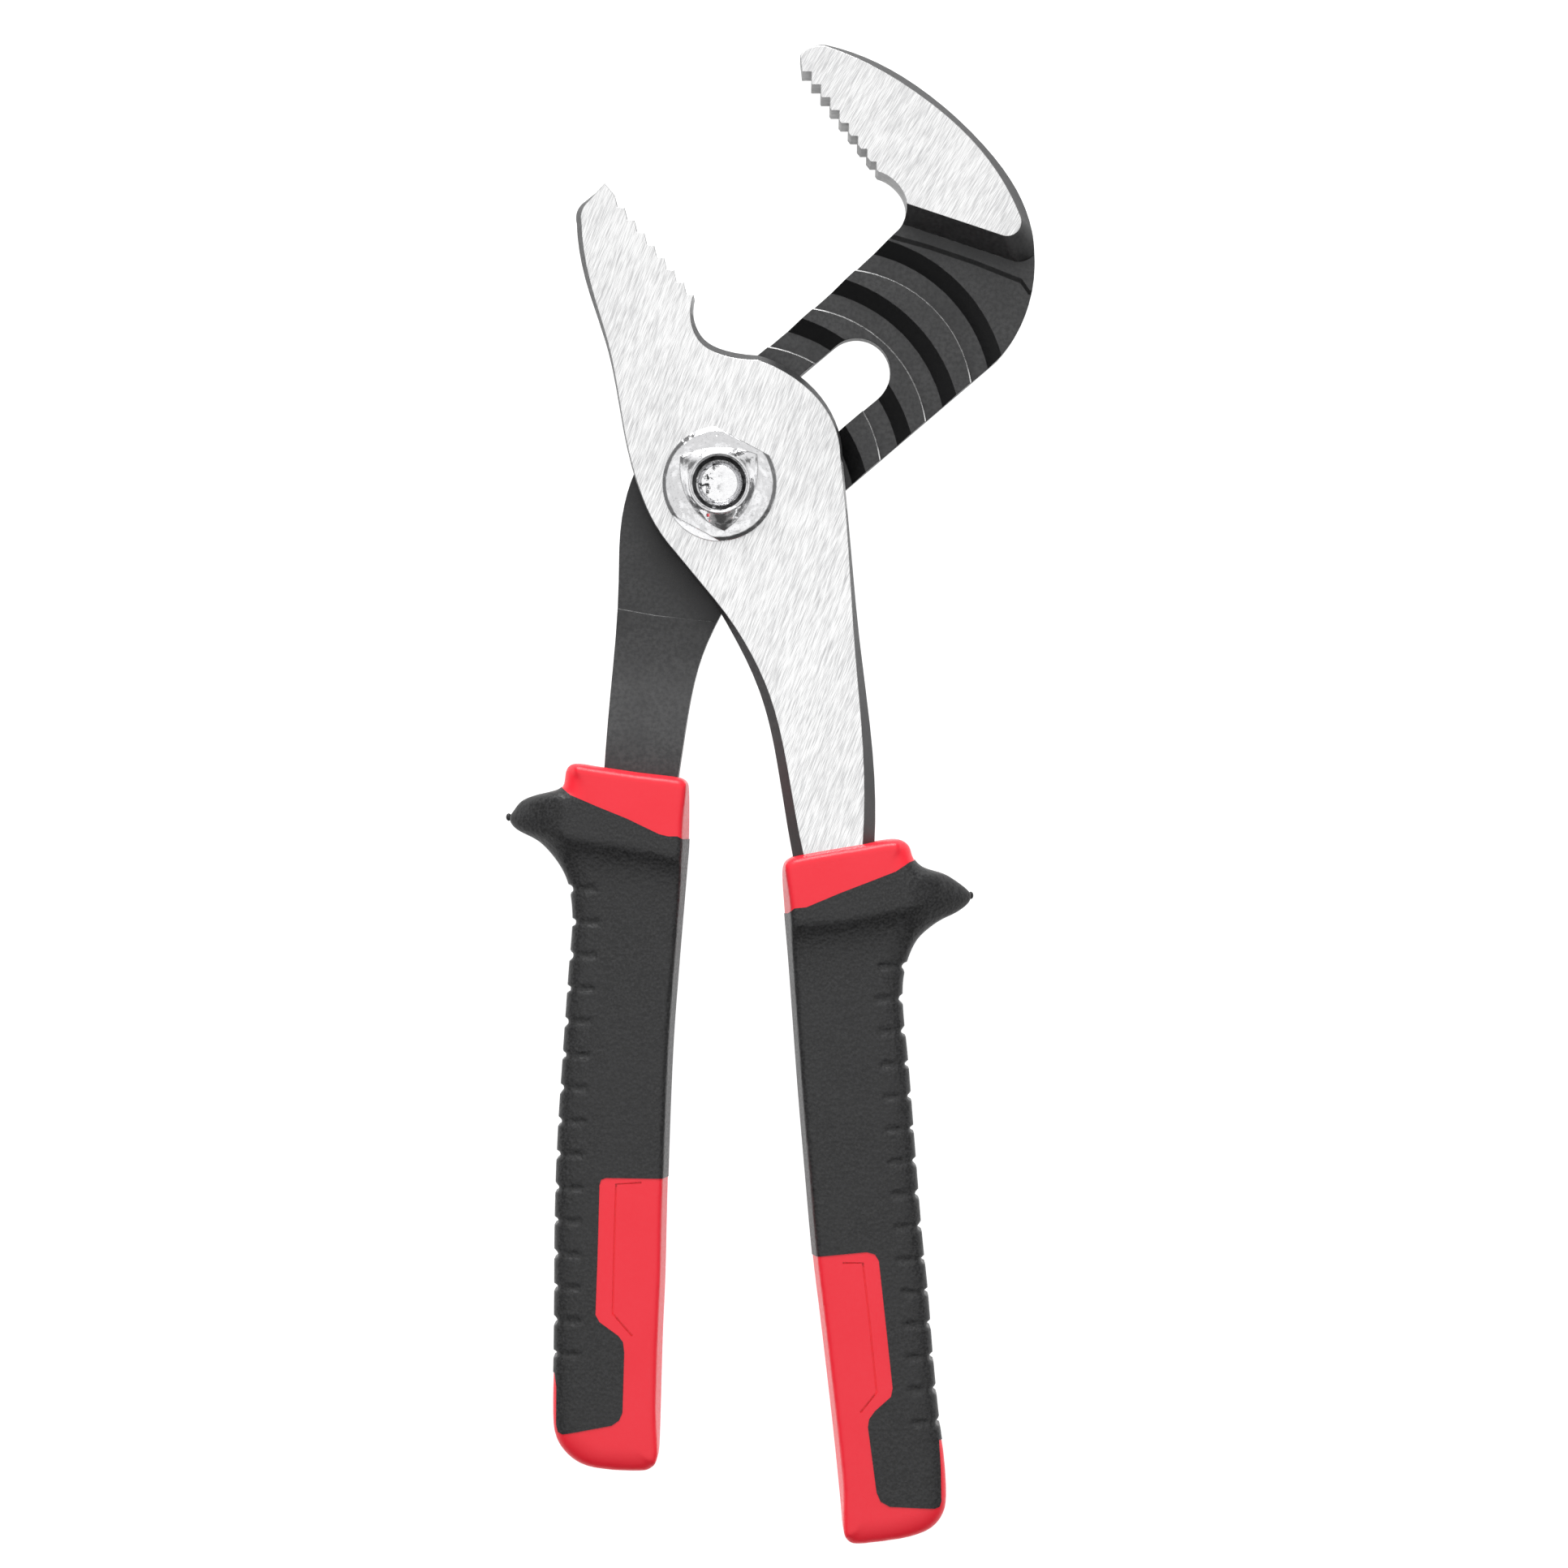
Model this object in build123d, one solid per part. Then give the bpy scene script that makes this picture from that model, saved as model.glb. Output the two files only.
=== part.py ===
from build123d import *
import math
import os

# Tongue and groove pliers, lying on their back. Millimetres.
# The origin is on the pivot bolt's axis, on the surface the tool rests on. +Z points out of the ground
# faces, +Y runs towards the jaws and -Y towards the ends of the handles.

# Levels above the resting surface
BACK_Z = 2.2
GROOVE_FLOOR_Z = 5.2
LAND_Z = 7.4
SHOULDER_Z = 7.8
OVERLAP_Z = 7.9
FACE_Z = 13.2
TONGUE_TIP_Z = 7.5
TANG_TOP_Z = 12.2

# Slot and its four settings
SLOT_ANGLE = 40.0
SETTING_PITCH = 10.4
SETTING_COUNT = 4
SLIDE_TRAVEL = SETTING_PITCH * (SETTING_COUNT - 1)
SLOT_WIDTH = 11.8
SLOT_END_ROOM = 0.1

# Curved grooves, each one drawn about a point that moves with the setting
GROOVE_CENTRE_ALONG = -5.8
GROOVE_CENTRE_ACROSS = -2.1
GROOVE_INNER_RADIUS = 23.5
GROOVE_FLOOR_WIDTH = 3.4
GROOVE_SLOPE_WIDTH = 2.8
GROOVE_HALF_SPAN = 78.0
GROOVE_LIP_WIDTH = 0.2
GROOVE_LIP_DEPTH = 0.3

# Tongue on the back of the front lever
TONGUE_INNER_RADIUS = 17.9
TONGUE_WIDTH = 2.4
TONGUE_DRAFT = 0.3
TONGUE_ROOT = 0.2
TONGUE_START_ANGLE = 45.0
TONGUE_SPAN = 35.0

# Teeth
TOOTH_COUNT = 8
FRONT_FIRST_TIP = (-4.5, 33.0)
FRONT_TOOTH_STEP = (-1.72, 2.17)
FRONT_GULLET = (-1.25, 0.1)
REAR_FIRST_TIP = (14.35, 71.8)
REAR_TOOTH_STEP = (1.61, -2.24)
REAR_GULLET = (1.65, 0.0)

# Pivot bolt, washer and nut
HEAD_RADIUS = 9.6
HEAD_HEIGHT = 2.1
HEAD_CHAMFER = 1.0
SHOULDER_RADIUS = 5.8
SHOULDER_TOP_Z = 7.7
SHANK_RADIUS = 5.0
SHANK_CLEARANCE = 0.05
SHANK_TOP_Z = 13.9
THREAD_RADIUS = 3.65
THREAD_TOP_Z = 17.3
THREAD_CHAMFER = 0.5
WASHER_Z = 13.25
WASHER_THICKNESS = 0.9
NUT_RADIUS = 9.95
NUT_FLAT_ANGLE = 62.0
NUT_UPPER_FLAT = 8.4
NUT_LOWER_FLAT = 8.75
NUT_FLANGE_HEIGHT = 2.4
NUT_EDGE_DROP = 0.8
NUT_SHOULDER_DROP = 0.4
NUT_SHOULDER_RADIUS = 9.25
NUT_CROWN_RADIUS = 6.2
NUT_HUB_HEIGHT = 2.3
HUB_CORNER_RADIUS = 8.5
HUB_CORNER_ANGLES = (145.0, 38.0, -84.0)
HUB_SIDE_RADIUS = 6.3
HUB_SIDE_ANGLES = (91.5, -23.0, -149.5)
HUB_TOP_RADIUS = 5.3
HUB_STEP = 0.7
RIM_DEPTH = 1.2
RIM_TAPER = 48.0

# Grips
GRIP_HEIGHT = 15.4
GRIP_ROUNDING = 2.6
GRIP_WALL_Z = 1.5
HORN_LOW_Z = 3.6
HORN_HIGH_Z = 11.8
TAIL_LOW_Z = 3.7
TAIL_HIGH_Z = 11.7

# Every cutting block that goes right through is this tall
THROUGH = 20.0


def profile(start, runs, z=0.0):
    """Closed face at height z. A run of one point is a line, of two an arc, of more a spline."""
    edges = []
    here = start
    for run in runs:
        points = [(x, y, z) for x, y in [here, *run]]
        if len(points) == 2:
            edges.append(Line(*points).edge())
        elif len(points) == 3:
            edges.append(ThreePointArc(*points).edge())
        else:
            edges.append(Spline(*points).edge())
        here = run[-1]
    return Face(Wire(edges))


def prism(start, runs, low, high):
    """Upright solid between two heights over a closed profile."""
    return extrude(profile(start, runs, low), amount=high - low, dir=(0, 0, 1))


def polygon_prism(points, low, high):
    """Upright solid over a straight-sided outline."""
    return prism(points[0], [[p] for p in points[1:]] + [[points[0]]], low, high)


def bevelled_top(start, runs, top_start, top_runs, low, high):
    """Solid whose sides slope in from one profile at the low height to another at the high one."""
    return loft([profile(start, runs, low), profile(top_start, top_runs, high)], ruled=True)


def along_slot(along, across=0.0):
    """Point at a distance along the slot from the bolt, and across it to the upper left."""
    angle = math.radians(SLOT_ANGLE)
    x = along * math.cos(angle) - across * math.sin(angle)
    y = along * math.sin(angle) + across * math.cos(angle)
    return (x, y)


def tooth_cuts(first_tip, step, gullet):
    """Triangular gullets of a stair-stepped row of teeth."""
    cuts = []
    for index in range(TOOTH_COUNT):
        tip = (first_tip[0] + index * step[0], first_tip[1] + index * step[1])
        root = (tip[0] + gullet[0], tip[1] + gullet[1])
        next_tip = (tip[0] + step[0], tip[1] + step[1])
        reach = (-0.8 * (root[0] - tip[0] - step[0] / 2), -0.8 * (root[1] - tip[1] - step[1] / 2))
        outside = [(p[0] + reach[0], p[1] + reach[1]) for p in (next_tip, tip)]
        cuts.append(polygon_prism([tip, root, next_tip, *outside], 0, THROUGH))
    return cuts


# ---------------------------------------------------------------- rear lever

REAR_START = (14.0, 74.7)
REAR_OUTLINE = [
    [(16.2, 76.3), (18.6, 76.7)],
    [(25.7, 74.6), (36.4, 68.3), (45.6, 59.9), (52.9, 49.5), (55.1, 39.3), (52.5, 27.8), (48.6, 22.2)],
    [(3.5, -16.3)],
    [(-0.1, -22.8), (-3.3, -30.0), (-5.2, -37.5), (-7.3, -50.9)],
    [(-8.6, -59.0)],
    [(-20.6, -57.4)],
    [(-20.1, -49.1)],
    [(-19.0, -34.5), (-17.8, -17.5), (-17.5, -8.0), (-15.0, 2.4)],
    [(6.1, 22.6)],
    [(12.5, 27.9), (19.3, 33.9), (31.2, 44.9)],
    [(32.3, 46.7), (32.6, 48.6), (31.5, 51.6), (27.6, 54.4)],
    [REAR_FIRST_TIP],
    [REAR_START],
]
# The jaw's raised part, drawn past the outline wherever the outline trims it
JAW_START = (12.5, 73.5)
JAW_THROAT = (25.0, 54.0)
JAW_FOOT = [
    [(15.0, 77.2), (18.8, 77.8)],
    [(26.2, 75.6), (37.2, 69.2), (46.6, 60.7), (54.0, 49.9), (55.9, 43.0)],
    [(54.6, 40.2), (50.6, 39.7)],
    [(29.4, 46.8)],
    [JAW_THROAT],
    [JAW_START],
]
JAW_FACE = [
    [(15.6, 76.0), (18.4, 76.3)],
    [(25.2, 73.6), (35.4, 67.4), (43.7, 60.2), (50.2, 51.3), (52.3, 46.8)],
    [(51.9, 44.1), (49.4, 43.3)],
    [(29.9, 49.8)],
    [JAW_THROAT],
    [JAW_START],
]
JAW_RECESS_EDGE = [(24.0, 46.8), (29.2, 43.6), (36.6, 41.5), (44.3, 38.9), (52.6, 35.6), (54.0, 33.6)]
TANG_RECESS_EDGE = [(-17.9, -21.4), (-11.3, -22.6), (-1.1, -23.7)]
REAR_TAIL = [(-18.6, -56.0), (-9.4, -57.2), (-11.4, -78.0), (-12.8, -118.0), (-19.6, -118.0), (-18.9, -78.0)]
STEP_SLOPE = (0.25, 0.75)
RAMP_TOP_Y = -53.0
RAMP_FOOT_Y = -25.0
RAMP_CLEAR_Y = -15.0
RAMP_CLEAR_X = 40.0


def groove(index):
    """One curved groove: a steep wall towards the bolt, a flat floor and a sloping outer wall."""
    centre = along_slot(GROOVE_CENTRE_ALONG + index * SETTING_PITCH, GROOVE_CENTRE_ACROSS)
    floor_outer = GROOVE_INNER_RADIUS + GROOVE_FLOOR_WIDTH
    slope_outer = floor_outer + GROOVE_SLOPE_WIDTH
    section = [
        (GROOVE_INNER_RADIUS, GROOVE_FLOOR_Z),
        (floor_outer, GROOVE_FLOOR_Z),
        (slope_outer, LAND_Z),
        (slope_outer, LAND_Z + 1),
        (GROOVE_INNER_RADIUS - GROOVE_LIP_WIDTH, LAND_Z + 1),
        (GROOVE_INNER_RADIUS - GROOVE_LIP_WIDTH, LAND_Z),
        (GROOVE_INNER_RADIUS, LAND_Z - GROOVE_LIP_DEPTH),
    ]
    face = make_face(Polyline(*[(r, 0, z) for r, z in section], close=True))
    cut = revolve(face, Axis.Z, 2 * GROOVE_HALF_SPAN)
    return Pos(centre[0], centre[1], 0) * Rot(0, 0, SLOT_ANGLE - GROOVE_HALF_SPAN) * cut


def sloped_step(outline, shift):
    """Low step on the plate whose edge leans back by the shift as it rises."""
    raised = [(x + shift[0], y + shift[1]) for x, y in outline]
    low_face, high_face = (
        profile(points[0], [[p] for p in points[1:]] + [[points[0]]], z)
        for points, z in ((outline, LAND_Z), (raised, SHOULDER_Z)))
    return loft([low_face, high_face], ruled=True)


def above_ramp():
    """Block over the tang whose underside rises smoothly from the shoulder level to the full height."""
    x = -RAMP_CLEAR_X
    foot = (x, RAMP_FOOT_Y, SHOULDER_Z)
    top = (x, RAMP_TOP_Y, TANG_TOP_Z)
    outline = [
        Line((x, RAMP_CLEAR_Y, SHOULDER_Z), foot).edge(),
        Spline(foot, top, tangents=((0, -1, 0), (0, -1, 0))).edge(),
        Line(top, (x, RAMP_TOP_Y, THROUGH)).edge(),
        Line((x, RAMP_TOP_Y, THROUGH), (x, RAMP_CLEAR_Y, THROUGH)).edge(),
        Line((x, RAMP_CLEAR_Y, THROUGH), (x, RAMP_CLEAR_Y, SHOULDER_Z)).edge(),
    ]
    return extrude(Face(Wire(outline)), amount=2 * RAMP_CLEAR_X, dir=(1, 0, 0))


def make_rear_lever():
    plate = prism(REAR_START, REAR_OUTLINE, BACK_Z, LAND_Z)
    blank = prism(REAR_START, REAR_OUTLINE, BACK_Z, FACE_Z)
    recess = polygon_prism(
        JAW_RECESS_EDGE + [(70, -10), (20, -40)] + TANG_RECESS_EDGE[::-1] + [(-40, -20), (-20, 30)],
        0, THROUGH)
    for index in range(SETTING_COUNT):
        plate -= groove(index) & recess
    jaw_step = blank & sloped_step(JAW_RECESS_EDGE + [(80, 33), (80, 90), (0, 90)], STEP_SLOPE)
    tang_top = blank & polygon_prism(
        [(-40, -20.5), *TANG_RECESS_EDGE, (20, -26), (20, -70), (-40, -70)], LAND_Z, TANG_TOP_Z)
    tang_top -= above_ramp()
    jaw_top = bevelled_top(JAW_START, JAW_FOOT, JAW_START, JAW_FACE, SHOULDER_Z, FACE_Z) & blank
    lever = plate + jaw_step + tang_top + jaw_top
    lever += polygon_prism(REAR_TAIL, TAIL_LOW_Z, TAIL_HIGH_Z)
    slot_middle = along_slot(SLIDE_TRAVEL / 2)
    slot = Pos(slot_middle[0], slot_middle[1], 0) * Rot(0, 0, SLOT_ANGLE) * extrude(
        SlotCenterToCenter(SLIDE_TRAVEL + SLOT_END_ROOM, SLOT_WIDTH), amount=THROUGH)
    lever -= slot
    for cut in tooth_cuts(REAR_FIRST_TIP, REAR_TOOTH_STEP, REAR_GULLET):
        lever -= cut
    return lever


# ---------------------------------------------------------------- front lever

FRONT_START = (-20.0, 52.4)
FRONT_OUTLINE = [
    [(-23.5, 49.6)],
    [(-24.9, 47.9), (-25.0, 45.8)],
    [(-22.9, 34.0), (-19.7, 24.2), (-16.5, 8.0), (-13.7, -2.0)],
    [(-11.6, -6.7), (-8.0, -11.7)],
    [(-1.0, -20.3)],
    [(2.9, -27.1), (7.0, -36.1), (10.1, -49.0), (12.7, -64.5)],
    [(13.4, -70.0)],
    [(27.6, -68.4)],
    [(27.0, -62.4)],
    [(26.7, -46.7), (24.5, -27.8), (22.7, -8.9), (21.4, 5.2)],
    [(18.9, 13.7), (14.6, 18.6), (6.8, 22.7)],
    [(0.9, 23.6), (-2.7, 25.5), (-4.6, 29.4), (-4.5, 33.0)],
    [(-17.9, 49.9)],
    [FRONT_START],
]
FRONT_FACE = [
    [(-22.9, 49.2)],
    [(-24.0, 47.6), (-24.1, 45.7)],
    [(-22.2, 34.0), (-19.3, 24.2), (-16.3, 8.0), (-13.5, -2.0)],
    [(-11.4, -6.6), (-7.8, -11.6)],
    [(-0.7, -20.2)],
    [(4.2, -27.2), (8.5, -36.1), (11.8, -49.4), (14.6, -64.4)],
    [(15.3, -69.8)],
    [(25.5, -68.6)],
    [(24.9, -62.4)],
    [(25.0, -46.7), (23.5, -27.8), (22.3, -8.9), (21.0, 5.2)],
    [(18.4, 13.2), (14.0, 17.8), (6.6, 21.7)],
    [(0.3, 22.6), (-3.4, 24.8), (-5.1, 29.3), (-4.5, 33.0)],
    [(-17.9, 49.9)],
    [FRONT_START],
]
FRONT_BEVEL_Z = 10.2
JAW_THICK_EDGE = [(-40.0, 15.9), (-7.9, 15.3), (1.8, 29.4), (10.0, 36.0)]
TANG_THICK_EDGE = [(40.0, -20.5), (9.2, -20.5), (5.8, -33.0), (3.0, -40.0)]
FRONT_TAIL = [(15.0, -67.0), (25.2, -65.8), (26.6, -86.0), (29.6, -130.0), (22.6, -131.0), (18.0, -88.0)]


def make_tongue():
    """Arc-shaped rib, concentric with the bolt."""
    outer = TONGUE_INNER_RADIUS + TONGUE_WIDTH
    section = [
        (TONGUE_INNER_RADIUS, OVERLAP_Z + TONGUE_ROOT),
        (TONGUE_INNER_RADIUS, TONGUE_TIP_Z),
        (outer - TONGUE_DRAFT, TONGUE_TIP_Z),
        (outer, OVERLAP_Z),
        (outer, OVERLAP_Z + TONGUE_ROOT),
    ]
    face = make_face(Polyline(*[(r, 0, z) for r, z in section], close=True))
    return Rot(0, 0, TONGUE_START_ANGLE) * revolve(face, Axis.Z, TONGUE_SPAN)


def make_front_lever():
    lower = prism(FRONT_START, FRONT_OUTLINE, BACK_Z, FRONT_BEVEL_Z)
    upper = bevelled_top(FRONT_START, FRONT_OUTLINE, FRONT_START, FRONT_FACE, FRONT_BEVEL_Z, FACE_Z)
    lever = lower + upper
    lever -= polygon_prism(
        [*JAW_THICK_EDGE, (40.0, 36.0), *TANG_THICK_EDGE, (-40.0, -40.0)], BACK_Z - 1, OVERLAP_Z)
    lever += make_tongue()
    lever += polygon_prism(FRONT_TAIL, TAIL_LOW_Z, TAIL_HIGH_Z)
    lever -= extrude(Circle(SHANK_RADIUS + SHANK_CLEARANCE), amount=THROUGH)
    for cut in tooth_cuts(FRONT_FIRST_TIP, FRONT_TOOTH_STEP, FRONT_GULLET):
        lever -= cut
    return lever


# ---------------------------------------------------------------- pivot

def stacked_rounds(steps):
    """Coaxial cylinders on the bolt's axis, each given as radius, low height and high height."""
    body = Part()
    for radius, low, high in steps:
        body += Pos(0, 0, low) * extrude(Circle(radius), amount=high - low)
    return body


def make_bolt():
    bolt = stacked_rounds([
        (HEAD_RADIUS, 0, HEAD_HEIGHT),
        (SHOULDER_RADIUS, HEAD_HEIGHT, SHOULDER_TOP_Z),
        (SHANK_RADIUS, SHOULDER_TOP_Z, SHANK_TOP_Z),
        (THREAD_RADIUS, SHANK_TOP_Z, THREAD_TOP_Z),
    ])
    head_rim = bolt.faces().sort_by(Axis.Z)[0].edges()
    bolt = chamfer(head_rim, HEAD_CHAMFER)
    thread_rim = bolt.faces().sort_by(Axis.Z)[-1].edges()
    return chamfer(thread_rim, THREAD_CHAMFER)


def half_plane_cut(angle, distance, low, high):
    """Block that trims everything beyond a flat at a distance from the bolt's axis."""
    block = Pos(distance + 10, 0, (low + high) / 2) * Box(20, 60, high - low)
    return Rot(0, 0, angle) * block


def make_washer():
    top = WASHER_Z + WASHER_THICKNESS
    washer = Pos(0, 0, WASHER_Z) * extrude(Circle(NUT_RADIUS) - Circle(SHANK_RADIUS), amount=WASHER_THICKNESS)
    return washer - half_plane_cut(NUT_FLAT_ANGLE, NUT_UPPER_FLAT, WASHER_Z, top)


def around_bolt(radius, angle):
    """Point at a radius and an angle about the bolt's axis."""
    turn = math.radians(angle)
    return (radius * math.cos(turn), radius * math.sin(turn))


def three_sided(corner_radius, side_radius, z):
    """Face with three corners joined by arcs that pass the given radius between them."""
    corners = [around_bolt(corner_radius, angle) for angle in HUB_CORNER_ANGLES]
    middles = [around_bolt(side_radius, angle) for angle in HUB_SIDE_ANGLES]
    runs = [[middles[0], corners[1]], [middles[1], corners[2]], [middles[2], corners[0]]]
    return profile(corners[0], runs, z)


def make_nut():
    """Flange nut with two flats. Three spurs run down from its round top to the flange."""
    low = WASHER_Z + WASHER_THICKNESS
    flange_top = low + NUT_FLANGE_HEIGHT
    hub_top = flange_top + NUT_HUB_HEIGHT
    section = [
        (0, low),
        (NUT_RADIUS, low),
        (NUT_RADIUS, flange_top - NUT_EDGE_DROP),
        (NUT_SHOULDER_RADIUS, flange_top - NUT_SHOULDER_DROP),
        (NUT_CROWN_RADIUS, flange_top),
        (0, flange_top),
    ]
    flange = revolve(make_face(Polyline(*[(r, 0, z) for r, z in section], close=True)), Axis.Z)
    flange -= half_plane_cut(NUT_FLAT_ANGLE, NUT_UPPER_FLAT, low - 1, hub_top)
    flange -= half_plane_cut(NUT_FLAT_ANGLE + 180, NUT_LOWER_FLAT, low - 1, hub_top)
    spur_face = three_sided(HUB_CORNER_RADIUS, HUB_SIDE_RADIUS, flange_top - NUT_SHOULDER_DROP)
    round_face = three_sided(HUB_TOP_RADIUS, HUB_TOP_RADIUS, hub_top - HUB_STEP)
    hub = loft([spur_face, round_face], ruled=True)
    hub += Pos(0, 0, flange_top) * extrude(Circle(HUB_TOP_RADIUS), amount=NUT_HUB_HEIGHT)
    rim_cone = extrude(Circle(THREAD_RADIUS), amount=RIM_DEPTH, taper=-RIM_TAPER)
    bore = extrude(Circle(THREAD_RADIUS), amount=THROUGH)
    return flange + hub - Pos(0, 0, hub_top - RIM_DEPTH) * rim_cone - bore


# ---------------------------------------------------------------- grips

REAR_GRIP = {
    "start": (-26.6, -69.5),
    "body": [
        [(-27.0, -53.0)],
        [(-25.8, -49.9), (-22.7, -48.9)],
        [(-8.9, -50.7)],
        [(-6.6, -51.7), (-5.6, -54.0)],
        [(-5.9, -68.2), (-7.3, -85.1), (-9.1, -120.5), (-10.0, -149.0), (-10.6, -167.0)],
        [(-11.9, -170.3), (-15.0, -171.6)],
        [(-20.1, -171.5)],
        [(-26.4, -168.8), (-29.0, -162.0)],
        [(-28.8, -142.0), (-28.2, -113.4), (-26.3, -85.1), (-26.6, -69.5)],
    ],
    "horn": [
        [(-24.0, -53.5)],
        [(-30.0, -53.7), (-34.5, -55.4), (-37.5, -58.1)],
        [(-35.0, -60.0), (-29.7, -63.7), (-26.0, -71.0)],
        [(-24.0, -71.0)],
    ],
    "horn_start": (-24.0, -71.0),
    "core": [
        (-24.0, -54.0), (-8.6, -55.0), (-10.0, -85.0), (-12.6, -149.0), (-13.6, -166.0),
        (-24.6, -166.0), (-25.6, -149.0), (-23.4, -85.0)],
    "collar_edge": [(-40.0, -49.0), (-27.1, -52.7), (-21.5, -55.9), (-10.5, -60.8), (0.0, -62.4)],
    "collar_beyond": [(0.0, -40.0), (-40.0, -40.0)],
    "lower": [
        (0.0, -120.9), (-20.0, -120.6), (-20.9, -121.8), (-21.5, -144.8), (-17.2, -148.4), (-16.7, -150.2),
        (-16.9, -161.4), (-18.8, -163.9), (-27.6, -165.2), (-28.4, -163.6), (-28.6, -154.6),
        (-40.0, -154.6), (-40.0, -180.0), (0.0, -180.0)],
}
FRONT_GRIP = {
    "start": (32.3, -83.0),
    "body": [
        [(33.2, -66.6)],
        [(32.1, -63.4), (29.0, -62.0)],
        [(14.4, -64.5)],
        [(12.0, -65.7), (11.1, -68.4)],
        [(11.5, -74.6), (13.6, -104.6), (16.2, -134.5), (19.0, -160.0), (21.2, -180.0)],
        [(22.6, -183.5), (25.6, -184.8)],
        [(30.6, -184.1)],
        [(36.9, -181.2), (39.3, -175.0)],
        [(38.0, -160.0), (35.9, -136.0), (33.4, -105.0), (32.3, -83.0)],
    ],
    "horn": [
        [(30.4, -65.4)],
        [(35.3, -66.6), (41.0, -69.0), (43.8, -71.6)],
        [(41.3, -74.2), (36.0, -77.3), (32.3, -85.0)],
        [(30.4, -85.0)],
    ],
    "horn_start": (30.4, -85.0),
    "core": [
        (14.4, -68.0), (30.4, -66.0), (30.2, -90.0), (32.6, -130.0), (35.2, -160.0), (35.8, -178.6),
        (24.6, -179.6), (22.2, -160.0), (19.0, -130.0), (15.6, -90.0)],
    "collar_edge": [(0.0, -75.6), (12.0, -74.6), (20.8, -71.1), (32.2, -66.4), (45.0, -62.5)],
    "collar_beyond": [(45.0, -50.0), (0.0, -50.0)],
    "lower": [
        (0.0, -135.6), (16.2, -134.4), (25.9, -133.6), (27.7, -134.8), (30.1, -157.4), (29.7, -159.1),
        (26.6, -161.7), (25.8, -163.5), (27.3, -175.5), (29.0, -177.8), (37.6, -178.1), (38.4, -177.2),
        (38.2, -166.3), (50.0, -166.3), (50.0, -195.0), (0.0, -195.0)],
}


def make_grip(shape, lever):
    """Core and cover of one handle. The core is the collar, the inner tube and the lower inner part."""
    body = prism(shape["start"], shape["body"], 0, GRIP_HEIGHT)
    rims = body.faces().sort_by(Axis.Z)[0].edges() + body.faces().sort_by(Axis.Z)[-1].edges()
    body = fillet(rims, GRIP_ROUNDING)
    horn = prism(shape["horn_start"], shape["horn"], HORN_LOW_Z, HORN_HIGH_Z)
    collar = body & polygon_prism(shape["collar_edge"] + shape["collar_beyond"], 0, THROUGH)
    lower = body & polygon_prism(shape["lower"], 0, THROUGH)
    tube = polygon_prism(shape["core"], GRIP_WALL_Z, GRIP_HEIGHT - GRIP_WALL_Z)
    core = (tube + collar + lower) - lever
    cover = (body + horn) - (tube + collar + lower)
    return core, cover


# ---------------------------------------------------------------- output

def main():
    rear_lever = make_rear_lever()
    front_lever = make_front_lever()
    rear_core, rear_cover = make_grip(REAR_GRIP, rear_lever)
    front_core, front_cover = make_grip(FRONT_GRIP, front_lever)
    nodes = {
        "rear_lever": rear_lever,
        "front_lever": front_lever,
        "pivot_bolt": make_bolt(),
        "pivot_washer": make_washer(),
        "pivot_nut": make_nut(),
        "rear_grip_core": rear_core,
        "rear_grip_cover": rear_cover,
        "front_grip_core": front_core,
        "front_grip_cover": front_cover,
    }
    os.makedirs("parts", exist_ok=True)
    for name, shape in nodes.items():
        export_step(shape, f"parts/{name}.step")


main()
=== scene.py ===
import math

import bmesh
import bpy
import numpy as np
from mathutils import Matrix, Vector


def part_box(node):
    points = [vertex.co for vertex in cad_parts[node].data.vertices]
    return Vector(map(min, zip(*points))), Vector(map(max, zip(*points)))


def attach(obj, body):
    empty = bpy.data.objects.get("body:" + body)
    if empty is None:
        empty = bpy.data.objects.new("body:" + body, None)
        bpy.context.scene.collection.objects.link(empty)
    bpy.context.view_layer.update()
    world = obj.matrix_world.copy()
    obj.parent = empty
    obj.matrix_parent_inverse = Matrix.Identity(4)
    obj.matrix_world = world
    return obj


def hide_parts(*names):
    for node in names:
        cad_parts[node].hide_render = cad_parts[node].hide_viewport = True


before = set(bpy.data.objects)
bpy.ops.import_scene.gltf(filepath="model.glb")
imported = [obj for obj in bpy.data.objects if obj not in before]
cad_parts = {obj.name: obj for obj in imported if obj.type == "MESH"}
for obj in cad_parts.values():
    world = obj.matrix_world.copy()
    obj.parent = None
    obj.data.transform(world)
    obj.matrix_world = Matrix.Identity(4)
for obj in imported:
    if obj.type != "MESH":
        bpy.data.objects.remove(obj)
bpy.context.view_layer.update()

MM = 0.001

# ---------------------------------------------------------------- levels, from the frame

GRIP_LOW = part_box("rear_grip_cover")[0].z
GRIP_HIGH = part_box("rear_grip_cover")[1].z
GRIP_MIDDLE = (GRIP_LOW + GRIP_HIGH) / 2
LEVER_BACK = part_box("front_lever")[0].z
LEVER_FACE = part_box("front_lever")[1].z

# The bevelled lip along the steep wall of each groove lies between these heights, where it is painted bright
# as a glint
GROOVE_LIP_LOW = 7.05 * MM
GROOVE_LIP_HIGH = 7.42 * MM
# Countersink of the nut, painted dark as the shade in its recess: inner radius, outer radius and lowest
# height
NUT_RECESS = (3.9 * MM, 4.75 * MM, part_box("pivot_nut")[1].z - 1.3 * MM)
# A point and a direction of each row of teeth
FRONT_TEETH = ((-4.5 * MM, 33.0 * MM), (-1.72, 2.17))
REAR_TEETH = ((14.35 * MM, 71.8 * MM), (1.61, -2.24))

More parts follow.
